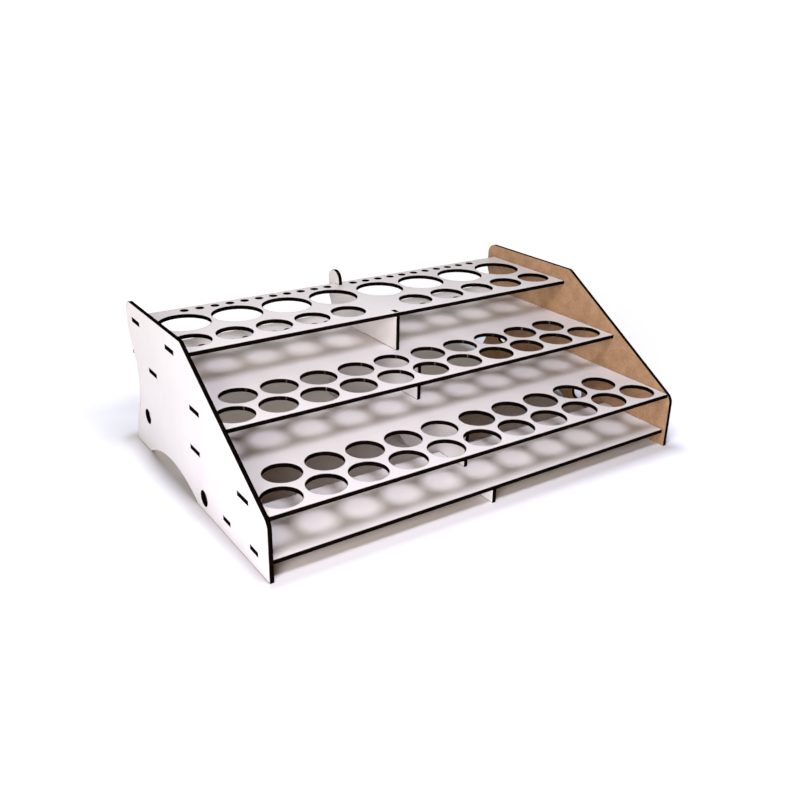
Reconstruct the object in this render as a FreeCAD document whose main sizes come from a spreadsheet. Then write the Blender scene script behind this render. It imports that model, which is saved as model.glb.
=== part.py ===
import FreeCAD, Part
import Sketcher
import math
import os

# Hobby workstation organizer: a stepped rack of flat boards that push together with tabs in slots.
# Millimetres. X runs across, the front faces -Y, Z is up and the rack stands on Z = 0 about the origin.
# Depths in the sheet are measured back from the front edge of the side panels.

DIMENSIONS = {
    # overall size and sheet
    "rack_width": 360.0,
    "rack_depth": 240.8,
    "panel_height": 119.2,
    "sheet_thickness": 3.0,
    "slot_clearance": 0.1,
    "cut_overrun": 2.0,
    # levels of the shelves, and how far their front edges lie behind the front of the side panels
    "base_height": 10.7,
    "top_recess": 14.3,
    "base_front": 3.3,
    "lower_front": 2.9,
    "top_rear_inset": 13.5,
    "base_depth": 65.1,
    "lower_depth": 130.1,
    # front edge and slope of the side panels
    "front_edge_rise": 0.4,
    "slope_lead": 5.1,
    "corner_radius": 9.0,
    "slope_radius": 2.0,
    # rear edge of every upright, as insets from the full depth
    "back_inset": 3.9,
    "waist_inset": 17.5,
    "waist_start_drop": 23.8,
    "waist_length": 24.0,
    "waist_bottom_height": 43.2,
    "heel_height": 8.6,
    "waist_start_radius": 6.0,
    "waist_top_radius": 16.0,
    "waist_bottom_radius": 38.0,
    # arch between the front foot and the heel
    "foot_length": 114.6,
    "heel_length": 29.8,
    "arch_rise": 13.1,
    # round connector holes in the side panels
    "connector_radius": 5.8,
    "rear_connector_inset": 31.6,
    "rear_connector_height": 31.3,
    "front_connector_lead": 13.0,
    "front_connector_height": 10.6,
    # tabs of the shelves: from a shelf's front edge, and from its rear edge
    "tab_length": 16.0,
    "base_tab_length": 11.0,
    "base_tab_front": 12.6,
    "lower_tab_front": 23.6,
    "lower_tab_rear": 13.4,
    "middle_tab_front": 32.8,
    "middle_tab_rear": 45.85,
    "top_tab_front": 8.1,
    "top_tab_rear": 3.1,
    # holes for bottles, jars and brushes
    "bottle_radius": 13.5,
    "jar_radius": 19.6,
    "brush_radius": 3.2,
    # webs of board between a hole and the next, in a row
    "bottle_web": 5.0,
    "narrow_web": 3.4,
    "brush_web": 6.35,
    # webs between the rows, and from a row to an edge or to the centre panel
    "bottle_row_web": 1.2,
    "jar_row_web": 6.8,
    "brush_row_web": 4.4,
    "lower_front_web": 4.1,
    "middle_front_web": 5.0,
    "top_front_web": 9.0,
    "top_rear_web": 4.1,
    "bottle_rib_web": 2.25,
    "jar_rib_web": 1.6,
    "brush_end_margin": 30.0,
    # centre panel, and the lengths of the shelves' slots that take it
    "rib_lower_setback": 34.6,
    "rib_middle_setback": 33.15,
    "base_slot_length": 15.4,
    "lower_slot_length": 17.0,
    "middle_slot_length": 62.8,
    "lobe_width": 17.4,
    "rib_tab_front": 2.2,
    "rib_tab_length": 5.2,
}

# How far two fillets reach, as shares: along the heel's height, and across the lobe's width from each side.
HEEL_ROUND_SHARE = 0.83
LOBE_ROUND_SHARE = 0.49


class Size:
    """A length, held as its number and as the expression that gives it in the document."""

    def __init__(self, value, text):
        self.value = value
        self.text = text

    def __add__(self, other):
        return Size(self.value + other.value, f"({self.text} + {other.text})")

    def __sub__(self, other):
        return Size(self.value - other.value, f"({self.text} - {other.text})")

    def __mul__(self, other):
        other = other if isinstance(other, Size) else Size(other, str(other))
        return Size(self.value * other.value, f"({self.text} * {other.text})")

    def __truediv__(self, other):
        other = other if isinstance(other, Size) else Size(other, str(other))
        return Size(self.value / other.value, f"({self.text} / {other.text})")

    def __neg__(self):
        return Size(-self.value, f"(0 - {self.text})")

    def whole(self):
        """The number rounded down."""
        return Size(math.floor(self.value), f"floor({self.text})")

    def root(self):
        """The square root."""
        return Size(math.sqrt(self.value), f"sqrt({self.text})")


ZERO = Size(0.0, "0")
ONE = Size(1, "1")


def make_sheet(doc):
    """Put the driving dimensions in a spreadsheet and return each as a Size."""
    sheet = doc.addObject("Spreadsheet::Sheet", "Sizes")
    sizes = {}
    for row, (alias, value) in enumerate(DIMENSIONS.items(), start=1):
        sheet.set(f"A{row}", alias)
        sheet.set(f"B{row}", str(value))
        sheet.setAlias(f"B{row}", alias)
        sizes[alias] = Size(value, f"Sizes.{alias}")
    doc.recompute()
    return sizes


doc = FreeCAD.newDocument("hobby_workstation_organizer")
size = make_sheet(doc)

sheet_t = size["sheet_thickness"]
clearance = size["slot_clearance"]
overrun = size["cut_overrun"]
half_width = size["rack_width"] / 2
half_depth = size["rack_depth"] / 2
inner_half_width = half_width - sheet_t

# Spacing of the holes in a row, and of the rows.
bottle_pitch = size["bottle_radius"] * 2 + size["bottle_web"]
bottle_row_gap = size["bottle_radius"] * 2 + size["bottle_row_web"]
jar_pitch = size["jar_radius"] * 2 + size["narrow_web"]
jar_row_gap = size["bottle_radius"] + size["jar_row_web"] + size["jar_radius"]
brush_pitch = size["brush_radius"] * 2 + size["brush_web"]
brush_row_gap = size["jar_radius"] + size["brush_row_web"] + size["brush_radius"]

# Rows behind a shelf's front edge.
lower_row = size["lower_front_web"] + size["bottle_radius"]
middle_row = size["middle_front_web"] + size["bottle_radius"]
top_bottle_row = size["top_front_web"] + size["bottle_radius"]
top_jar_row = top_bottle_row + jar_row_gap
brush_row = top_jar_row + brush_row_gap
top_depth = brush_row + size["brush_radius"] + size["top_rear_web"]

# Undersides of the shelves, in three equal steps.
level_step = (size["panel_height"] - size["top_recess"] - size["base_height"]) / 3
LEVEL = {
    "base_shelf": size["base_height"],
    "lower_shelf": size["base_height"] + level_step,
    "middle_shelf": size["base_height"] + level_step * 2,
    "top_shelf": size["base_height"] + level_step * 3,
}

# Front edges of the shelves behind the front of the side panels: the middle one lies halfway.
top_front = size["rack_depth"] - size["top_rear_inset"] - top_depth
FRONT = {
    "base_shelf": size["base_front"],
    "lower_shelf": size["lower_front"],
    "middle_shelf": (size["lower_front"] + top_front) / 2,
    "top_shelf": top_front,
}
DEPTH = {
    "base_shelf": size["base_depth"],
    "lower_shelf": size["lower_depth"],
    "middle_shelf": size["rack_depth"] - FRONT["middle_shelf"],
    "top_shelf": top_depth,
}

# Each shelf's tabs as (start behind the shelf's front edge, length). The base's rear tabs end at its rear edge.
base_tab = size["base_tab_length"]
tab = size["tab_length"]
TABS = {
    "base_shelf": [(size["base_tab_front"], base_tab), (DEPTH["base_shelf"] - base_tab, base_tab)],
}
for board in ("lower", "middle", "top"):
    rear_start = DEPTH[f"{board}_shelf"] - size[f"{board}_tab_rear"] - tab
    TABS[f"{board}_shelf"] = [(size[f"{board}_tab_front"], tab), (rear_start, tab)]

# Where each shelf's slot for the centre panel starts, behind the front of the side panels.
panel_back = size["rack_depth"] - size["back_inset"]
lobe_front = panel_back - size["lobe_width"]
LAP = {"top_shelf": lobe_front}
for board in ("base", "lower", "middle"):
    shelf_rear = FRONT[f"{board}_shelf"] + DEPTH[f"{board}_shelf"]
    LAP[f"{board}_shelf"] = shelf_rear - size[f"{board}_slot_length"]


def bind(thing, path, length):
    """Give a property its number through an expression on the sheet."""
    thing.setExpression(path, length.text)


def place(body, x, y, z):
    """Stand a body in the shared frame."""
    body.Placement = FreeCAD.Placement(FreeCAD.Vector(x.value, y.value, z.value), FreeCAD.Rotation())
    bind(body, "Placement.Base.x", x)
    bind(body, "Placement.Base.y", y)
    bind(body, "Placement.Base.z", z)


def new_body(name):
    """A PartDesign body whose label names its file."""
    body = doc.addObject("PartDesign::Body", name)
    body.Label = name
    return body


def new_sketch(body, name, plane_role):
    """A sketch on one of the body's own origin planes."""
    plane = [item for item in body.Origin.OriginFeatures if item.Role == plane_role][0]
    sketch = body.newObject("Sketcher::SketchObject", name)
    sketch.AttachmentSupport = [(plane, "")]
    sketch.MapMode = "FlatFace"
    return sketch


def pin_point(sketch, geometry, point, across, along):
    """Hold a point of the sketch at its distances from the origin, both bound to the sheet."""
    for kind, length in (("DistanceX", across), ("DistanceY", along)):
        index = sketch.addConstraint(Sketcher.Constraint(kind, -1, 1, geometry, point, length.value))
        bind(sketch, f"Constraints[{index}]", length)


def vector(across, along):
    """A point in a sketch's plane."""
    return FreeCAD.Vector(across.value, along.value, 0)


def add_loop(sketch, corners):
    """A closed loop of straight edges through the corners."""
    edges = []
    for start, end in zip(corners, corners[1:] + corners[:1]):
        edges.append(sketch.addGeometry(Part.LineSegment(vector(*start), vector(*end)), False))
    for edge, following in zip(edges, edges[1:] + edges[:1]):
        sketch.addConstraint(Sketcher.Constraint("Coincident", edge, 2, following, 1))
    for edge, (across, along) in zip(edges, corners):
        pin_point(sketch, edge, 1, across, along)


def add_box(sketch, left, right, front, rear):
    """A rectangular loop."""
    add_loop(sketch, [(left, front), (right, front), (right, rear), (left, rear)])


def add_circle(sketch, across, along, radius):
    """A circle with its centre and radius bound to the sheet."""
    circle = Part.Circle(vector(across, along), FreeCAD.Vector(0, 0, 1), radius.value)
    geometry = sketch.addGeometry(circle, False)
    pin_point(sketch, geometry, 3, across, along)
    index = sketch.addConstraint(Sketcher.Constraint("Radius", geometry, radius.value))
    bind(sketch, f"Constraints[{index}]", radius)


def pad(body, sketch, name):
    """Raise a sketch by one sheet thickness."""
    feature = body.newObject("PartDesign::Pad", name)
    feature.Profile = sketch
    feature.Length = sheet_t.value
    bind(feature, "Length", sheet_t)
    sketch.Visibility = False
    doc.recompute()
    return feature


def pocket(body, sketch, name):
    """Cut a sketch right through the board, and make sure that material went."""
    before = body.Shape.Volume
    feature = body.newObject("PartDesign::Pocket", name)
    feature.Profile = sketch
    feature.Type = "ThroughAll"
    feature.Reversed = True
    sketch.Visibility = False
    doc.recompute()
    if body.Shape.Volume >= before:
        raise RuntimeError(f"{body.Label}: {name} cuts nothing")
    return feature


def runs_through_at(edge, corner):
    """Whether an edge runs through the board at a corner of the outline, which lies in the YZ plane."""
    if edge.BoundBox.XLength < sheet_t.value / 2:
        return False
    across, along = corner
    near = clearance.value
    point = edge.Vertexes[0].Point
    return abs(point.y - across.value) < near and abs(point.z - along.value) < near


def round_corners(body, name, corners, radius):
    """Fillet the edges that run through the board at the given corners of its outline."""
    base = body.Tip
    edges = []
    for index, edge in enumerate(base.Shape.Edges, start=1):
        if any(runs_through_at(edge, corner) for corner in corners):
            edges.append(f"Edge{index}")
    if len(edges) != len(corners):
        raise RuntimeError(f"{body.Label}: {name} found {len(edges)} edges for {len(corners)} corners")
    fillet = body.newObject("PartDesign::Fillet", name)
    fillet.Base = (base, edges)
    fillet.Radius = radius.value
    bind(fillet, "Radius", radius)
    doc.recompute()


def copies_in(room, pitch):
    """How many holes fit when the first one stands at one end of the room that their centres have."""
    return (room / pitch).whole() + ONE


def hole_row(body, name, first, along, radius, pitch, count):
    """A row of round holes: one pocket, repeated across the shelf."""
    sketch = new_sketch(body, f"{name}_sketch", "XY_Plane")
    add_circle(sketch, first, along, radius)
    first_hole = pocket(body, sketch, f"{name}_hole")
    before = body.Shape.Volume
    pattern = body.newObject("PartDesign::LinearPattern", f"{name}_row")
    pattern.Originals = [first_hole]
    pattern.Direction = (sketch, ["H_Axis"])
    pattern.Occurrences = count.value
    bind(pattern, "Occurrences", count)
    span = pitch * (count - ONE)
    pattern.Length = span.value
    bind(pattern, "Length", span)
    body.Tip = pattern
    doc.recompute()
    if body.Shape.Volume >= before:
        raise RuntimeError(f"{body.Label}: {name} repeats nothing")


def half_rows(body, name, nearest, along, radius, pitch, end_margin):
    """Two mirrored rows of holes, one each side of the centre panel, as long as the shelf has room."""
    count = copies_in(inner_half_width - end_margin - radius - nearest, pitch)
    farthest = nearest + pitch * (count - ONE)
    hole_row(body, f"{name}_left", -farthest, along, radius, pitch, count)
    hole_row(body, f"{name}_right", nearest, along, radius, pitch, count)


def make_shelf(name):
    """A shelf board with two tabs at each end and its slot for the centre panel."""
    body = new_body(name)
    depth = DEPTH[name]
    board = new_sketch(body, f"{name}_board", "XY_Plane")
    add_box(board, -inner_half_width, inner_half_width, ZERO, depth)
    pad(body, board, f"{name}_sheet")

    tabs = new_sketch(body, f"{name}_tab_outline", "XY_Plane")
    for start, length in TABS[name]:
        add_box(tabs, -half_width, -inner_half_width, start, start + length)
        add_box(tabs, inner_half_width, half_width, start, start + length)
    pad(body, tabs, f"{name}_tabs")

    rib_slot = new_sketch(body, f"{name}_rib_slot_outline", "XY_Plane")
    half_slot = sheet_t / 2 + clearance
    slot_start = LAP[name] - FRONT[name] - clearance
    add_box(rib_slot, -half_slot, half_slot, slot_start, depth + overrun)
    pocket(body, rib_slot, f"{name}_rib_slot")
    place(body, ZERO, FRONT[name] - half_depth, LEVEL[name])
    return body


def add_bottle_rows(body, name, row_front):
    """Two staggered rows of bottle holes: one across the middle, and one with the centre panel between."""
    radius = size["bottle_radius"]
    margin = size["narrow_web"]
    each_side = copies_in(inner_half_width - margin - radius, bottle_pitch) - ONE
    first = -(bottle_pitch * each_side)
    count = each_side * 2 + ONE
    hole_row(body, f"{name}_front", first, row_front, radius, bottle_pitch, count)
    nearest = sheet_t / 2 + size["bottle_rib_web"] + radius
    half_rows(body, f"{name}_back", nearest, row_front + bottle_row_gap, radius, bottle_pitch, margin)


def add_brush_rows(body, name):
    """Small holes at one depth in the rack on each shelf that has them, so that a brush stands upright."""
    along = FRONT["top_shelf"] + brush_row - FRONT[name]
    margin = size["brush_end_margin"]
    half_rows(body, f"{name}_brush", brush_pitch, along, size["brush_radius"], brush_pitch, margin)


def make_base_shelf():
    return make_shelf("base_shelf")


def make_lower_shelf():
    body = make_shelf("lower_shelf")
    add_bottle_rows(body, "lower", lower_row)
    return body


def make_middle_shelf():
    body = make_shelf("middle_shelf")
    add_bottle_rows(body, "middle", middle_row)
    add_brush_rows(body, "middle_shelf")
    return body


def make_top_shelf():
    body = make_shelf("top_shelf")
    margin = size["narrow_web"]
    half_rows(body, "top_bottle", bottle_pitch, top_bottle_row, size["bottle_radius"], bottle_pitch, margin)
    nearest = sheet_t / 2 + size["jar_rib_web"] + size["jar_radius"]
    half_rows(body, "top_jar", nearest, top_jar_row, size["jar_radius"], jar_pitch, margin)
    add_brush_rows(body, "top_shelf")
    tab_slot = new_sketch(body, "top_shelf_rib_tab_outline", "XY_Plane")
    half_slot = sheet_t / 2 + clearance
    start = size["rib_tab_front"]
    add_box(tab_slot, -half_slot, half_slot, start - clearance, start + size["rib_tab_length"] + clearance)
    pocket(body, tab_slot, "top_shelf_rib_tab_slot")
    return body


# The rear edge that every upright shares, from the top down to the floor: a straight back, a drawn-in waist
# and a heel that runs out to the full depth.
waist_depth = size["rack_depth"] - size["waist_inset"]
waist_bottom = size["waist_bottom_height"]
WAIST_START = (panel_back, size["panel_height"] - size["waist_start_drop"])
WAIST_TOP = (waist_depth, waist_bottom + size["waist_length"])
WAIST_BOTTOM = (waist_depth, waist_bottom)
HEEL = (size["rack_depth"], size["heel_height"])
REAR_EDGE = [WAIST_START, WAIST_TOP, WAIST_BOTTOM, HEEL, (size["rack_depth"], ZERO)]


def heel_radius():
    """The radius whose fillet reaches its share of the way down the heel, below the slant that meets it."""
    drop = waist_bottom - size["heel_height"]
    run = size["waist_inset"]
    slant = (run * run + drop * drop).root()
    half_turn_tangent = (slant - drop) / run
    return size["heel_height"] * HEEL_ROUND_SHARE / half_turn_tangent


def finish_rear_edge(body, name):
    """Round the rear edge and cut the arch that leaves a front foot and a heel."""
    round_corners(body, f"{name}_waist_start", [WAIST_START], size["waist_start_radius"])
    round_corners(body, f"{name}_waist_top", [WAIST_TOP], size["waist_top_radius"])
    round_corners(body, f"{name}_waist_bottom", [WAIST_BOTTOM], size["waist_bottom_radius"])
    round_corners(body, f"{name}_heel", [HEEL], heel_radius())
    rise = size["arch_rise"]
    arch_rear = size["rack_depth"] - size["heel_length"]
    half_span = (arch_rear - size["foot_length"]) / 2
    radius = (half_span * half_span + rise * rise) / (rise * 2)
    arch = new_sketch(body, f"{name}_arch_outline", "YZ_Plane")
    add_circle(arch, size["foot_length"] + half_span, rise - radius, radius)
    pocket(body, arch, f"{name}_arch")


def make_side_panel(name, left_face):
    """A side panel, with a slot for every shelf tab and two round connector holes."""
    body = new_body(name)
    outline = new_sketch(body, f"{name}_outline", "YZ_Plane")
    slope_start = (ZERO, LEVEL["lower_shelf"] + size["front_edge_rise"])
    slope_end = (FRONT["top_shelf"] - size["slope_lead"], size["panel_height"])
    back_top = (panel_back, size["panel_height"])
    corners = [(ZERO, ZERO), slope_start, slope_end, back_top] + REAR_EDGE
    add_loop(outline, corners)
    pad(body, outline, f"{name}_sheet")
    round_corners(body, f"{name}_corners", [slope_start, back_top], size["corner_radius"])
    round_corners(body, f"{name}_slope_end", [slope_end], size["slope_radius"])
    finish_rear_edge(body, name)

    slots = new_sketch(body, f"{name}_slot_outlines", "YZ_Plane")
    for shelf, tabs in TABS.items():
        for start, length in tabs:
            front = FRONT[shelf] + start - clearance
            rear = FRONT[shelf] + start + length + clearance
            add_box(slots, front, rear, LEVEL[shelf], LEVEL[shelf] + sheet_t + clearance)
    pocket(body, slots, f"{name}_slots")

    connectors = new_sketch(body, f"{name}_connector_outlines", "YZ_Plane")
    rear_hole = size["rack_depth"] - size["rear_connector_inset"]
    front_hole = size["foot_length"] - size["front_connector_lead"]
    add_circle(connectors, rear_hole, size["rear_connector_height"], size["connector_radius"])
    add_circle(connectors, front_hole, size["front_connector_height"], size["connector_radius"])
    pocket(body, connectors, f"{name}_connector_holes")
    place(body, left_face, -half_depth, ZERO)
    return body


def rib_notch(front, lap, level):
    """The corners of a slot in the centre panel that is open to the front and takes a shelf."""
    return [(front, level), (lap, level), (lap, level + sheet_t + clearance)]


def make_centre_panel():
    """The rib halfway along, whose front edge steps back at each shelf, where the shelf slots in."""
    body = new_body("centre_panel")
    outline = new_sketch(body, "centre_panel_outline", "YZ_Plane")
    top_level = LEVEL["top_shelf"]
    top_face = top_level + sheet_t
    tab_start = FRONT["top_shelf"] + size["rib_tab_front"]
    tab_end = tab_start + size["rib_tab_length"]
    lobe_top_front = (lobe_front, size["panel_height"])
    lobe_top_back = (panel_back, size["panel_height"])
    fronts = {
        "base_shelf": FRONT["base_shelf"],
        "lower_shelf": FRONT["lower_shelf"] + size["rib_lower_setback"],
        "middle_shelf": FRONT["middle_shelf"] + size["rib_middle_setback"],
        "top_shelf": FRONT["top_shelf"],
    }
    corners = [(fronts["base_shelf"], ZERO)]
    for shelf, above in (
        ("base_shelf", "lower_shelf"),
        ("lower_shelf", "middle_shelf"),
        ("middle_shelf", "top_shelf"),
    ):
        corners += rib_notch(fronts[shelf], LAP[shelf], LEVEL[shelf])
        corners.append((fronts[above], LEVEL[shelf] + sheet_t + clearance))
    corners += [
        (fronts["top_shelf"], top_level),
        (tab_start, top_level),
        (tab_start, top_face),
        (tab_end, top_face),
        (tab_end, top_level),
        (lobe_front, top_level),
        lobe_top_front,
        lobe_top_back,
    ]
    corners += REAR_EDGE
    add_loop(outline, corners)
    pad(body, outline, "centre_panel_sheet")
    lobe_radius = size["lobe_width"] * LOBE_ROUND_SHARE
    round_corners(body, "centre_panel_lobe", [lobe_top_front, lobe_top_back], lobe_radius)
    finish_rear_edge(body, "centre_panel")
    place(body, -(sheet_t / 2), -half_depth, ZERO)
    return body


def check(body):
    """Stop when a body or anything in it is broken."""
    for item in [body] + list(body.Group):
        if "Invalid" in item.State or "Error" in item.State:
            raise RuntimeError(f"{body.Label}: {item.Label} is {item.State}")
    if body.Shape.isNull() or not body.Shape.isValid() or len(body.Shape.Solids) != 1:
        raise RuntimeError(f"{body.Label}: the shape isn't one valid solid")


pieces = [
    make_side_panel("left_side_panel", -half_width),
    make_side_panel("right_side_panel", inner_half_width),
    make_centre_panel(),
    make_base_shelf(),
    make_lower_shelf(),
    make_middle_shelf(),
    make_top_shelf(),
]
doc.recompute()

os.makedirs("parts", exist_ok=True)
for piece in pieces:
    check(piece)
    piece.Shape.exportStep(f"parts/{piece.Label}.step")
    box = piece.Shape.BoundBox
    low = f"({box.XMin:.2f}, {box.YMin:.2f}, {box.ZMin:.2f})"
    high = f"({box.XMax:.2f}, {box.YMax:.2f}, {box.ZMax:.2f})"
    print(f"{piece.Label}: {low} to {high}")
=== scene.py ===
import math

import bmesh
import bpy
from mathutils import Matrix, Vector
from mathutils.geometry import delaunay_2d_cdt


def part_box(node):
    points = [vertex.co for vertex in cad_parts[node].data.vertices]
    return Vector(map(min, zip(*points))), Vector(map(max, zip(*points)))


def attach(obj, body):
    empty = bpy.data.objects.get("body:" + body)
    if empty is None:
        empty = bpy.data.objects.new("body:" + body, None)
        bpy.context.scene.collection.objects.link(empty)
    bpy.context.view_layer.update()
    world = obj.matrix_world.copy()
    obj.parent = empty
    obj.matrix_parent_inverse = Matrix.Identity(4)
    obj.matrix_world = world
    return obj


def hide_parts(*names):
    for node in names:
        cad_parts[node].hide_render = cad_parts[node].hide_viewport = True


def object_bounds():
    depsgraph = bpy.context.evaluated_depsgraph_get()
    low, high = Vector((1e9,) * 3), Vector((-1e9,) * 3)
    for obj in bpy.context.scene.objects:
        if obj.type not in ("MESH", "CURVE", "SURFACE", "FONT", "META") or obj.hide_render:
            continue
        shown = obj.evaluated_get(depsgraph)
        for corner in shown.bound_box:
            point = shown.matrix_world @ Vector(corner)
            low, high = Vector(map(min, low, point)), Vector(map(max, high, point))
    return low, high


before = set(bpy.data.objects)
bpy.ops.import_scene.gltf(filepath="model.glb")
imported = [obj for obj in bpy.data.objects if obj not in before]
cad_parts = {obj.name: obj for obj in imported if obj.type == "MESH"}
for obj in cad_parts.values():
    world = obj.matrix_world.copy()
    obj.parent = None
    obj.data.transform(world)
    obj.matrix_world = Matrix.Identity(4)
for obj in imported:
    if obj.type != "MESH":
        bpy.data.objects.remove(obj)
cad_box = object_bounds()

# A stepped rack of laser-cut boards. Each has a white face, a raw brown face and charred cut edges.
# Metres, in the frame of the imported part: X across, -Y the front, Z up, the rack on Z = 0.

MM = 0.001

# Boards: the axis that is square to each, and the side of it that the white face looks to
ACROSS, UP = 0, 2
AXIS_LETTER = {ACROSS: "x", UP: "z"}
WHITE_FACE = {
    "left_side_panel": (ACROSS, -1),
    "right_side_panel": (ACROSS, 1),
    "centre_panel": (ACROSS, -1),
    "base_shelf": (UP, 1),
    "lower_shelf": (UP, 1),
    "middle_shelf": (UP, 1),
    "top_shelf": (UP, 1),
}
SLOT = {name: "white_faced_hardboard" for name in WHITE_FACE}
SLOT["right_side_panel"] = "brown_hardboard"

# Rings of points along a cut edge: how far in from the cut, and how deep below the white face
WHITE_SIDE_RINGS = [
    (0.90 * MM, 0.0),
    (0.30 * MM, 0.0),
    (0.06 * MM, 0.03 * MM),
    (0.0, 0.12 * MM),
]
# The rings after them: how far in from the cut, and how deep below the raw face
RAW_SIDE_RINGS = [
    (0.02 * MM, 0.08 * MM),
    (0.05 * MM, 0.02 * MM),
    (0.20 * MM, 0.0),
]
SHARP_EDGE_ANGLE = math.radians(40)

# Points nearer than this are one point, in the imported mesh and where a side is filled
WELD = 0.001 * MM
FILL_WELD = WELD / 100

# A loop of at least so many points, all equally far from its middle within this, is a circle
CIRCLE_POINTS_LEAST = 9
CIRCLE_TOLERANCE = 0.02 * MM

# Circles are drawn afresh, with chords of about this length
CIRCLE_CHORD = 0.9 * MM
CIRCLE_CHORDS_LEAST = 32

# Elsewhere, chords whose lengths differ by less than this share, and which turn less, are arcs
ARC_CHORD_DIFFERENCE = 0.08
ARC_TURN_MOST = math.radians(28)
ARC_PARTS = 4

# Where the laser pierced each bottle hole of the middle shelf: a shallow notch in the wall
START_MARK_BOARD = "middle_shelf"
START_MARK_ANGLE = math.radians(41.3)
START_MARK_HALF_WIDTH = 0.30 * MM
START_MARK_DEPTH = 0.15 * MM
MARKED_RADIUS_LEAST = 10.0 * MM


def in_plane(place, axis):
    """The two coordinates of a place in the plane of a board."""
    return Vector((place[0], place[1])) if axis == UP else Vector((place[1], place[2]))


def in_space(point, level, axis):
    """The place of a point of a board's plane, at a level along the board's axis."""
    if axis == UP:
        return Vector((point.x, point.y, level))
    return Vector((level, point.x, point.y))


def face_loops(node, axis):
    """The outline and holes of a packed board: loops of points with the board on their left."""
    sheet = bmesh.new()
    sheet.from_mesh(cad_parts[node].data)
    bmesh.ops.remove_doubles(sheet, verts=sheet.verts, dist=WELD)
    level = max(vert.co[axis] for vert in sheet.verts)
    for face in sheet.faces:
        face.tag = all(level - vert.co[axis] < WELD for vert in face.verts)
    following = {}
    for face in sheet.faces:
        for corner in face.loops:
            if face.tag and not all(other.tag for other in corner.edge.link_faces):
                following[corner.vert] = corner.link_loop_next.vert
    loops = []
    while following:
        start, vert = following.popitem()
        verts = [start]
        while vert in following:
            verts.append(vert)
            vert = following.pop(vert)
        loops.append([in_plane(vert.co, axis) for vert in verts])
    sheet.free()
    return loops


def circle_of(points):
    """The centre and radius of a loop that is a circle, or None."""
    centre = sum(points, Vector((0, 0))) / len(points)
    radii = [(point - centre).length for point in points]
    if len(points) < CIRCLE_POINTS_LEAST or max(radii) - min(radii) > CIRCLE_TOLERANCE:
        return None
    return centre, max(radii)


def round_hole(centre, radius, marked):
    """A circle with the board outside it, and how much of the start mark each of its points has."""
    chords = max(CIRCLE_CHORDS_LEAST, round(math.tau * radius / CIRCLE_CHORD))
    half_mark = START_MARK_HALF_WIDTH / radius
    points, marks = [], []
    for step in range(chords):
        angle = START_MARK_ANGLE - math.tau * step / chords
        stops = [(angle, radius, 0.0)]
        if step == 0 and marked:
            stops = [
                (angle + half_mark, radius, 0.0),
                (angle, radius + START_MARK_DEPTH, 1.0),
                (angle - half_mark, radius, 0.0),
            ]
        for turn, reach, mark in stops:
            points.append(centre + reach * Vector((math.cos(turn), math.sin(turn))))
            marks.append(mark)
    return points, marks


def turn_at(points, index):
    """The turn of a loop at one of its points, in radians, to the left."""
    before = points[index] - points[index - 1]
    after = points[(index + 1) % len(points)] - points[index]
    return -before.angle_signed(after)


def arc_points(start, end, turn):
    """The points between the ends of a chord, on an arc that turns by so much from end to end."""
    chord = end - start
    outward = Vector((chord.y, -chord.x))
    half_chord = math.sin(turn / 2)
    points = []
    for part in range(1, ARC_PARTS):
        angle = turn * (part / ARC_PARTS - 0.5)
        along = 0.5 + math.sin(angle) / (2 * half_chord)
        height = (math.cos(angle) - math.cos(turn / 2)) / (2 * half_chord)
        points.append(start + chord * along + outward * height)
    return points


def smooth_arcs(points):
    """The loop with more points on its rounded stretches."""
    count = len(points)
    turns = [turn_at(points, index) for index in range(count)]
    lengths = [(points[(index + 1) % count] - points[index]).length for index in range(count)]
    smooth = []
    for index in range(count):
        after = (index + 1) % count
        smooth.append(points[index])
        neighbours = (lengths[index - 1], lengths[after])
        differences = [abs(length / lengths[index] - 1) for length in neighbours]
        turn = max(turns[index], turns[after], key=abs)
        bends_one_way = turns[index] * turns[after] > 0
        if min(differences) < ARC_CHORD_DIFFERENCE and bends_one_way and abs(turn) <= ARC_TURN_MOST:
            smooth += arc_points(points[index], points[after], turn)
    return smooth


def redraw(points, board_name):
    """A loop with its rounded stretches made smooth, and the start mark at each of its points."""
    circle = circle_of(points)
    if circle is None:
        points = smooth_arcs(points)
        return points, [0.0] * len(points)
    centre, radius = circle
    marked = board_name == START_MARK_BOARD and radius > MARKED_RADIUS_LEAST
    return round_hole(centre, radius, marked)


def inset(points, distance):
    """The loop moved into the board by a distance, with mitred corners."""
    moved = []
    for index, point in enumerate(points):
        before = (point - points[index - 1]).normalized()
        after = (points[(index + 1) % len(points)] - point).normalized()
        left_before = Vector((-before.y, before.x))
        left_after = Vector((-after.y, after.x))
        mitre = distance / (1 + left_before.dot(left_after))
        moved.append(point + (left_before + left_after) * mitre)
    return moved


def edge_section(white_level, raw_level):
    """The rings of a cut edge: how far each lies in from the cut, and its level along the axis."""
    inward = math.copysign(1.0, raw_level - white_level)
    white_side = [(distance, white_level + inward * depth) for distance, depth in WHITE_SIDE_RINGS]
    raw_side = [(distance, raw_level - inward * depth) for distance, depth in RAW_SIDE_RINGS]
    return white_side + raw_side


def make_rings(mesh, points, marks, section, axis):
    """The rings of points along one loop of a board, from its white face to its raw face."""
    scorch = mesh.verts.layers.float["scorch"]
    start_mark = mesh.verts.layers.float["start_mark"]
    rings = []
    for number, (distance, level) in enumerate(section):
        ring = []
        for point, mark in zip(inset(points, distance), marks):
            vert = mesh.verts.new(in_space(point, level, axis))
            vert[scorch] = 0.0 if number == 0 else 1.0
            vert[start_mark] = mark
            ring.append(vert)
        rings.append(ring)
    return rings


def join(mesh, upper, lower):
    """A band of faces between two rings."""
    band = []
    for index in range(len(upper)):
        after = (index + 1) % len(upper)
        band.append(mesh.faces.new((upper[index], upper[after], lower[after], lower[index])))
    return band


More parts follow.
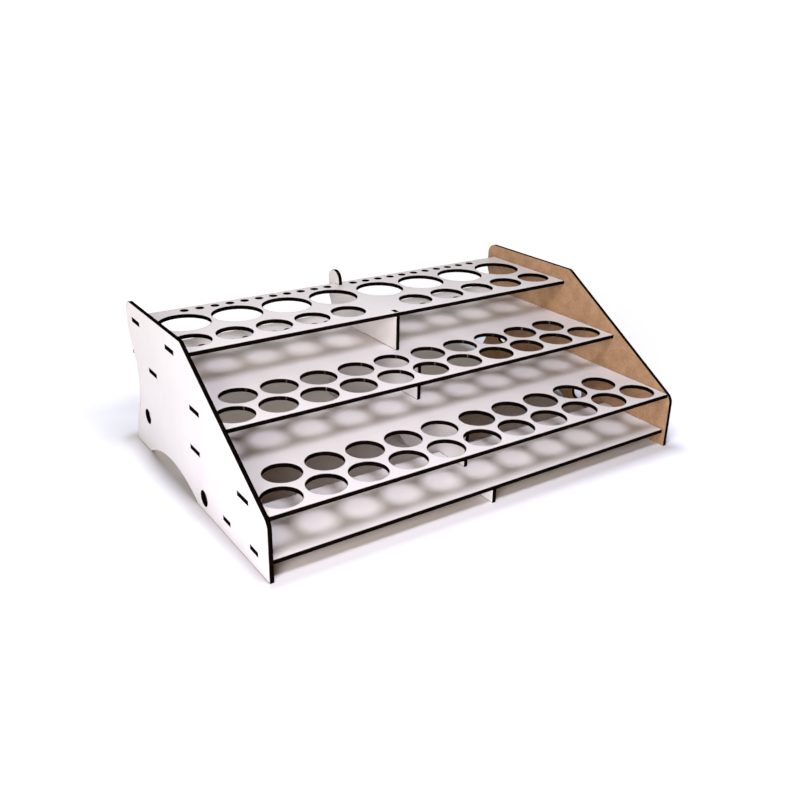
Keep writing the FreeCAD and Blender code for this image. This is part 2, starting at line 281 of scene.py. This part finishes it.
def fill(mesh, rings, axis, level):
    """The faces that close one side of a board between its outline and its holes."""
    verts = [vert for ring in rings for vert in ring]
    loops = []
    first = 0
    for ring in rings:
        loops.append(list(range(first, first + len(ring))))
        first += len(ring)
    flat_points = [in_plane(vert.co, axis) for vert in verts]
    inside_without_holes = 2
    places, _, triangles, sources, _, _ = delaunay_2d_cdt(
        flat_points, [], loops, inside_without_holes, FILL_WELD)
    matched = []
    for place, source in zip(places, sources):
        new_place = in_space(place, level, axis)
        matched.append(verts[source[0]] if source else mesh.verts.new(new_place))
    return [mesh.faces.new([matched[index] for index in triangle]) for triangle in triangles]


def make_piece(name, mesh, finishes):
    """The Blender object of a board, from its finished mesh."""
    data = bpy.data.meshes.new(name)
    mesh.to_mesh(data)
    mesh.free()
    data.set_sharp_from_angle(angle=SHARP_EDGE_ANGLE)
    for material in finishes:
        data.materials.append(material)
    piece = bpy.data.objects.new(name, data)
    bpy.context.scene.collection.objects.link(piece)
    return piece


def make_board(name, finishes):
    """A board rebuilt from its packed outline, with rounded-over cut edges and three finishes."""
    axis, white_side = WHITE_FACE[name]
    low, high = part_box(name)
    white_level, raw_level = high[axis], low[axis]
    if white_side < 0:
        white_level, raw_level = raw_level, white_level
    section = edge_section(white_level, raw_level)
    mesh = bmesh.new()
    mesh.verts.layers.float.new("scorch")
    mesh.verts.layers.float.new("start_mark")
    white_rings, raw_rings, borders, walls = [], [], [], []
    for loop in face_loops(name, axis):
        points, marks = redraw(loop, name)
        rings = make_rings(mesh, points, marks, section, axis)
        borders += join(mesh, rings[0], rings[1])
        for upper, lower in zip(rings[1:], rings[2:]):
            walls += join(mesh, upper, lower)
        white_rings.append(rings[0])
        raw_rings.append(rings[-1])
    whites = fill(mesh, white_rings, axis, white_level) + borders
    raws = fill(mesh, raw_rings, axis, raw_level)
    for finish_number, faces in enumerate((whites, walls, raws)):
        for face in faces:
            face.material_index = finish_number
            face.smooth = faces is walls
    bmesh.ops.recalc_face_normals(mesh, faces=mesh.faces)
    board = make_piece(name + "_board", mesh, finishes)
    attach(board, "root")
    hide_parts(name)


class Nodes:
    """A material's node tree, with a short way to add each node and link it."""

    def __init__(self, name):
        self.material = bpy.data.materials.new(name)
        self.material.use_nodes = True
        self.tree = self.material.node_tree
        self.shader = self.tree.nodes["Principled BSDF"]

    def add(self, kind, settings=None, **inputs):
        """A node with its settings, and with values or links in its inputs."""
        node = self.tree.nodes.new("ShaderNode" + kind)
        for key, value in (settings or {}).items():
            setattr(node, key, value)
        for key, value in inputs.items():
            self.give(node.inputs[key.replace("_", " ")], value)
        return node

    def give(self, socket, value):
        """A value set on an input, or an output linked to it."""
        if isinstance(value, bpy.types.NodeSocket):
            self.tree.links.new(value, socket)
        else:
            socket.default_value = value

    def finish(self, **inputs):
        """Values or links for the shader's own inputs."""
        for key, value in inputs.items():
            self.give(self.shader.inputs[key.replace("_", " ")], value)

    def noise(self, axis, size, detail=2.0, roughness=0.5, turn=0.0, shift=0.0):
        """Noise with lumps of one size, or of three: along the board, across it and through it."""
        place = self.add("TexCoord").outputs["Object"]
        if axis == ACROSS:
            parts = self.add("SeparateXYZ", Vector=place).outputs
            place = self.add("CombineXYZ", X=parts["Y"], Y=parts["Z"], Z=parts["X"]).outputs[0]
        if turn:
            spin = self.add("VectorRotate", {"rotation_type": "Z_AXIS"}, Vector=place, Angle=turn)
            place = spin.outputs[0]
        sizes = size if isinstance(size, tuple) else (size, size, size)
        scale = tuple(1 / lump for lump in sizes)
        mapping = self.add("Mapping", Vector=place, Scale=scale, Location=(shift, shift, shift))
        noise = self.add("TexNoise", Vector=mapping.outputs[0], Scale=1.0, Detail=detail,
                         Roughness=roughness)
        return noise.outputs["Fac"]

    def spread(self, value, source, target=(0.0, 1.0)):
        """The value stretched from a source range to a target range, and held inside it."""
        node = self.add("MapRange", Value=value, From_Min=source[0], From_Max=source[1],
                        To_Min=target[0], To_Max=target[1])
        return node.outputs[0]

    def math(self, operation, first, second):
        """A sum, product, power or comparison of two numbers."""
        node = self.add("Math", {"operation": operation})
        self.give(node.inputs[0], first)
        self.give(node.inputs[1], second)
        return node.outputs[0]

    def vector(self, operation, first, second=(0.0, 0.0, 0.0)):
        """The same for vectors."""
        node = self.add("VectorMath", {"operation": operation})
        self.give(node.inputs[0], first)
        self.give(node.inputs[1], second)
        return node.outputs[0]

    def mix(self, share, first, second):
        """A colour between two others."""
        node = self.add("Mix", {"data_type": "RGBA"}, Factor=share, A=first, B=second)
        return node.outputs["Result"]

    def attribute(self, name):
        """A number that each point of the mesh carries."""
        return self.add("Attribute", {"attribute_name": name}).outputs["Fac"]

    def relief(self, *heights):
        """Bump from pairs of a height and its depth in metres."""
        normal = None
        for height, depth in heights:
            bump = self.add("Bump", Height=height, Distance=depth, Strength=1.0)
            if normal is not None:
                self.give(bump.inputs["Normal"], normal)
            normal = bump.outputs[0]
        self.finish(Normal=normal)


def colour(red, green, blue):
    """An opaque colour from display values of 0 to 255."""
    def linear(value):
        value = value / 255
        return value / 12.92 if value <= 0.04045 else ((value + 0.055) / 1.055) ** 2.4
    return (linear(red), linear(green), linear(blue), 1.0)


# The range that most of a noise lies in
MOST = (0.3, 0.7)

# White face
COAT_DULL = colour(216, 212, 214)
COAT_BRIGHT = colour(221, 218, 220)
COAT_ROUGHNESS = (0.34, 0.44)
COAT_GLOSS_LEVEL = 0.32
DUST = colour(150, 128, 108)
DUST_PEAKS = (0.77, 0.83)
DUST_STRENGTH = (0.0, 0.35)
HALO = colour(158, 126, 98)
HALO_FALLOFF = 2.2
HALO_STRENGTH = (0.25, 0.75)
PEEL_DEPTH = 0.012 * MM


def make_white_face(axis):
    """The coated face: satin white, uneven, with specks and a brown halo along each cut."""
    nodes = Nodes("white_face_" + AXIS_LETTER[axis])
    patches = nodes.noise(axis, size=38 * MM, detail=3.0)
    base = nodes.mix(nodes.spread(patches, MOST), COAT_DULL, COAT_BRIGHT)
    dust = nodes.noise(axis, size=0.55 * MM, detail=1.0, shift=7.3)
    base = nodes.mix(nodes.spread(dust, DUST_PEAKS, DUST_STRENGTH), base, DUST)
    halo = nodes.math("POWER", nodes.attribute("scorch"), HALO_FALLOFF)
    smoke = nodes.noise(axis, size=2.4 * MM, detail=3.0, shift=3.1)
    halo = nodes.math("MULTIPLY", halo, nodes.spread(smoke, MOST, HALO_STRENGTH))
    base = nodes.mix(halo, base, HALO)
    sheen = nodes.noise(axis, size=9 * MM, detail=4.0, shift=1.7)
    nodes.finish(Base_Color=base, Roughness=nodes.spread(sheen, MOST, COAT_ROUGHNESS),
                 Specular_IOR_Level=COAT_GLOSS_LEVEL)
    peel = nodes.noise(axis, size=1.1 * MM)
    nodes.relief((peel, PEEL_DEPTH))
    return nodes.material


# Raw face
FIBRES_DARK = colour(128, 93, 62)
FIBRES_LIGHT = colour(172, 138, 106)
MOTTLE_SHARE, CLUMP_SHARE, GRIT_SHARE = 0.42, 0.30, 0.28
TONE_RANGE = (0.36, 0.64)
STRAND = colour(180, 152, 122)
STRAND_SIZE = (3.2 * MM, 0.30 * MM, 1.0 * MM)
# Directions that the strands lie in: how far their noise is turned, and its shift
STRAND_DIRECTIONS = [(0.35, 1.0), (1.5, 2.0), (2.5, 3.0)]
STRAND_PEAKS = (0.62, 0.76)
STRAND_STRENGTH = (0.0, 0.55)
FLECK = colour(91, 61, 40)
FLECK_SIZE = (0.9 * MM, 0.35 * MM, 0.6 * MM)
FLECK_PEAKS = (0.68, 0.78)
FLECK_STRENGTH = (0.0, 0.6)
RAW_ROUGHNESS = (0.62, 0.78)
FIBRE_DEPTH = 0.05 * MM


def make_raw_face(axis):
    """The bare side of the board: pressed brown fibres, mottled."""
    nodes = Nodes("raw_face_" + AXIS_LETTER[axis])
    mottle = nodes.noise(axis, size=11 * MM, detail=4.0, roughness=0.6)
    clumps = nodes.noise(axis, size=1.9 * MM, detail=3.0, roughness=0.65, shift=4.0)
    grit = nodes.noise(axis, size=0.5 * MM, shift=9.0)
    tone = nodes.math("MULTIPLY", mottle, MOTTLE_SHARE)
    tone = nodes.math("ADD", tone, nodes.math("MULTIPLY", clumps, CLUMP_SHARE))
    tone = nodes.math("ADD", tone, nodes.math("MULTIPLY", grit, GRIT_SHARE))
    base = nodes.mix(nodes.spread(tone, TONE_RANGE), FIBRES_DARK, FIBRES_LIGHT)
    fibres = None
    for turn, shift in STRAND_DIRECTIONS:
        strands = nodes.noise(axis, size=STRAND_SIZE, turn=turn, shift=shift)
        fibres = strands if fibres is None else nodes.math("MAXIMUM", fibres, strands)
    base = nodes.mix(nodes.spread(fibres, STRAND_PEAKS, STRAND_STRENGTH), base, STRAND)
    flecks = nodes.noise(axis, size=FLECK_SIZE, detail=1.0, turn=0.9, shift=12.0)
    base = nodes.mix(nodes.spread(flecks, FLECK_PEAKS, FLECK_STRENGTH), base, FLECK)
    nodes.finish(Base_Color=base, Roughness=nodes.spread(clumps, MOST, RAW_ROUGHNESS))
    nodes.relief((fibres, FIBRE_DEPTH), (clumps, FIBRE_DEPTH))
    return nodes.material


# Cut edge
CHAR_DARK = colour(3, 2, 2)
CHAR_LIGHT = colour(19, 13, 10)
CHAR_SIZE = (6.0 * MM, 6.0 * MM, 2.2 * MM)
CHAR_RANGE = (0.35, 0.7)
CHAR_ROUGHNESS = (0.52, 0.7)
PULSE_SIZE = (0.22 * MM, 0.22 * MM, 4.0 * MM)
PULSE_STRENGTH = (0.4, 1.0)
PULSE_DEPTH = 0.04 * MM
START_MARK_COLOUR = colour(150, 145, 140)
START_MARK_RANGE = (0.35, 0.6)
START_MARK_STRENGTH = (0.15, 0.9)


def make_charred_edge(axis):
    """The cut edge: burnt black, with fine lines down it where the beam pulsed, and start marks."""
    nodes = Nodes("charred_edge_" + AXIS_LETTER[axis])
    pulses = nodes.noise(axis, size=PULSE_SIZE)
    char = nodes.noise(axis, size=CHAR_SIZE, detail=4.0, roughness=0.6, shift=5.0)
    pulse_strength = nodes.spread(pulses, MOST, PULSE_STRENGTH)
    tone = nodes.math("MULTIPLY", nodes.spread(char, CHAR_RANGE), pulse_strength)
    base = nodes.mix(tone, CHAR_DARK, CHAR_LIGHT)
    faintness = nodes.noise(axis, size=14 * MM, detail=1.0, shift=11.0)
    strength = nodes.spread(faintness, START_MARK_RANGE, START_MARK_STRENGTH)
    mark = nodes.math("MULTIPLY", nodes.attribute("start_mark"), strength)
    base = nodes.mix(mark, base, START_MARK_COLOUR)
    nodes.finish(Base_Color=base, Roughness=nodes.spread(pulses, MOST, CHAR_ROUGHNESS),
                 Specular_IOR_Level=0.0)
    nodes.relief((pulses, PULSE_DEPTH))
    return nodes.material


# Table: a painted glow, though it is no lamp, brightens it to overexposed white away from the rack;
# the glow stops under and behind the rack, a painted shade there on top of the lamps' real shadow
WHITE = (1.0, 1.0, 1.0, 1.0)
TABLE_REACH = 12.0
TABLE_COLOUR = (0.75, 0.74, 0.77, 1.0)
TABLE_ROUGHNESS = 0.6
TABLE_GLOSS_LEVEL = 0.2
# How far the painted shade, where the glow stops, reaches before the rack and behind it, and how
# far in from the left there
SHADE_BEFORE = 0.003
SHADE_BEHIND = 0.058
SHADE_BEHIND_INSET = 0.045
# The painted shade's bluish colour, which the glow has near the rack, and the distances over which
# the glow turns from it to white
SHADE_COLOUR = (0.76, 0.82, 1.0, 1.0)
GLOW_WHITENS = (0.02, 0.3)
# How the painted glow grows with the distance from the painted shade: from, to, and what it gains
TABLE_GLOW = [(0.0, 0.016, 0.48), (0.0, 0.05, 0.18), (0.05, 0.4, 0.12), (0.4, 1.4, 0.45)]


def distance_outside(nodes, place, low, high):
    """How far a place lies outside a box."""
    middle, half = (low + high) / 2, (high - low) / 2
    from_middle = nodes.vector("ABSOLUTE", nodes.vector("SUBTRACT", place, middle))
    outside = nodes.vector("MAXIMUM", nodes.vector("SUBTRACT", from_middle, half))
    length = nodes.add("VectorMath", {"operation": "LENGTH"}, Vector=outside)
    return length.outputs["Value"]


def distance_from_shade(nodes):
    """How far a place on the table lies from the painted shade under the rack and behind it."""
    low, high = cad_box
    place = nodes.add("TexCoord").outputs["Object"]
    under_low = Vector((low.x, low.y - SHADE_BEFORE, 0.0))
    under_high = Vector((high.x, high.y, 0.0))
    behind_low = Vector((low.x + SHADE_BEHIND_INSET, high.y, 0.0))
    behind_high = Vector((high.x, high.y + SHADE_BEHIND, 0.0))
    from_under = distance_outside(nodes, place, under_low, under_high)
    from_behind = distance_outside(nodes, place, behind_low, behind_high)
    return nodes.math("MINIMUM", from_under, from_behind)


def make_table_glow_and_painted_shade():
    """Plain white with a painted glow, no lamp, that grows away from the rack, and a painted bluish
    shade near it.
    """
    nodes = Nodes("table_glow_and_painted_shade")
    distance = distance_from_shade(nodes)
    glow = None
    for start, end, gain in TABLE_GLOW:
        step = nodes.spread(distance, (start, end), (0.0, gain))
        glow = step if glow is None else nodes.math("ADD", glow, step)
    # Painted lavender shade: the glow is bluish near the rack and turns white away from it
    tint = nodes.mix(nodes.spread(distance, GLOW_WHITENS), SHADE_COLOUR, WHITE)
    nodes.finish(Base_Color=TABLE_COLOUR, Roughness=TABLE_ROUGHNESS,
                 Specular_IOR_Level=TABLE_GLOSS_LEVEL, Emission_Color=tint, Emission_Strength=glow)
    return nodes.material


def make_floor():
    """The table's flat top."""
    mesh = bpy.data.meshes.new("floor")
    corners = [(across * TABLE_REACH, along * TABLE_REACH, 0.0)
               for across, along in ((-1, -1), (1, -1), (1, 1), (-1, 1))]
    mesh.from_pydata(corners, [], [(0, 1, 2, 3)])
    mesh.materials.append(make_table_glow_and_painted_shade())
    floor = bpy.data.objects.new("floor", mesh)
    bpy.context.scene.collection.objects.link(floor)


WORLD_STRENGTH = 1.05


def make_world():
    """White all round to the camera and in the gloss; the lamps and the table do the lighting."""
    world = bpy.data.worlds.new("studio")
    world.use_nodes = True
    background = world.node_tree.nodes["Background"]
    background.inputs["Color"].default_value = WHITE
    background.inputs["Strength"].default_value = WORLD_STRENGTH
    world.cycles_visibility.diffuse = False
    bpy.context.scene.world = world
    bpy.context.scene.view_settings.view_transform = "Standard"


LAMPS_LOOK_AT = Vector((0.0, 0.0, 0.05))


def around(azimuth, elevation, distance):
    """A place around the rack, in degrees: azimuth from the front to the right, and elevation."""
    turn, rise = math.radians(azimuth), math.radians(elevation)
    level = distance * math.cos(rise)
    return (level * math.sin(turn), -level * math.cos(turn), distance * math.sin(rise))


def make_light(name, place, size, power, tint):
    """A round soft light that looks at the rack."""
    data = bpy.data.lights.new(name, "AREA")
    data.shape = "DISK"
    data.size = size
    data.energy = power
    data.color = tint
    lamp = bpy.data.objects.new(name, data)
    lamp.location = place
    lamp.rotation_mode = "QUATERNION"
    lamp.rotation_quaternion = (LAMPS_LOOK_AT - Vector(place)).to_track_quat("-Z", "Y")
    bpy.context.scene.collection.objects.link(lamp)


def make_lights():
    """A small lamp over the front, which lights spots through the holes, and three soft ones."""
    make_light("key_light", place=(-0.082, -0.220, 0.450), size=0.16, power=1.80,
               tint=(0.917, 0.908, 1.0))
    make_light("window_light", place=around(azimuth=-46, elevation=21, distance=1.2),
               size=0.60, power=11.6, tint=(1.0, 0.925, 0.825))
    make_light("low_fill", place=(-0.38, -0.33, 0.045), size=0.20, power=0.68,
               tint=(0.78, 0.80, 1.0))
    make_light("back_light", place=around(azimuth=180, elevation=50, distance=1.2),
               size=0.60, power=2.85, tint=(1.0, 0.877, 0.737))


# Camera, fitted to the photograph's edges and hole rims, for a square picture
CAMERA_PLACE = (-0.36958, -0.53453, 0.32177)
CAMERA_AZIMUTH = math.radians(-34.3890)
CAMERA_ELEVATION = math.radians(23.6690)
CAMERA_ROLL = math.radians(1.11754)
PICTURE_SIDE_PX = 800
FOCAL_LENGTH_PX = 880.811
SENSOR_WIDTH_MM = 36.0
NEAREST_SEEN, FARTHEST_SEEN = 0.01, 50.0


def make_camera():
    """The camera at the photograph's place, looking along its axis with its slight roll."""
    level_distance = math.cos(CAMERA_ELEVATION)
    back = Vector((math.sin(CAMERA_AZIMUTH) * level_distance,
                   -math.cos(CAMERA_AZIMUTH) * level_distance,
                   math.sin(CAMERA_ELEVATION)))
    level_right = (-back).cross(Vector((0, 0, 1))).normalized()
    level_up = level_right.cross(-back)
    right = math.cos(CAMERA_ROLL) * level_right + math.sin(CAMERA_ROLL) * level_up
    up = math.cos(CAMERA_ROLL) * level_up - math.sin(CAMERA_ROLL) * level_right
    data = bpy.data.cameras.new("camera")
    data.sensor_width = SENSOR_WIDTH_MM
    data.lens = SENSOR_WIDTH_MM * FOCAL_LENGTH_PX / PICTURE_SIDE_PX
    data.clip_start = NEAREST_SEEN
    data.clip_end = FARTHEST_SEEN
    camera = bpy.data.objects.new("camera", data)
    turn = Matrix((right, up, back)).transposed().to_4x4()
    camera.matrix_world = Matrix.Translation(Vector(CAMERA_PLACE)) @ turn
    bpy.context.scene.collection.objects.link(camera)
    bpy.context.scene.camera = camera


white_face = {axis: make_white_face(axis) for axis in (ACROSS, UP)}
raw_face = {axis: make_raw_face(axis) for axis in (ACROSS, UP)}
charred_edge = {axis: make_charred_edge(axis) for axis in (ACROSS, UP)}
for board_name, (board_axis, _) in WHITE_FACE.items():
    board_finishes = (white_face[board_axis], charred_edge[board_axis], raw_face[board_axis])
    make_board(board_name, board_finishes)
make_floor()
make_world()
make_lights()
make_camera()
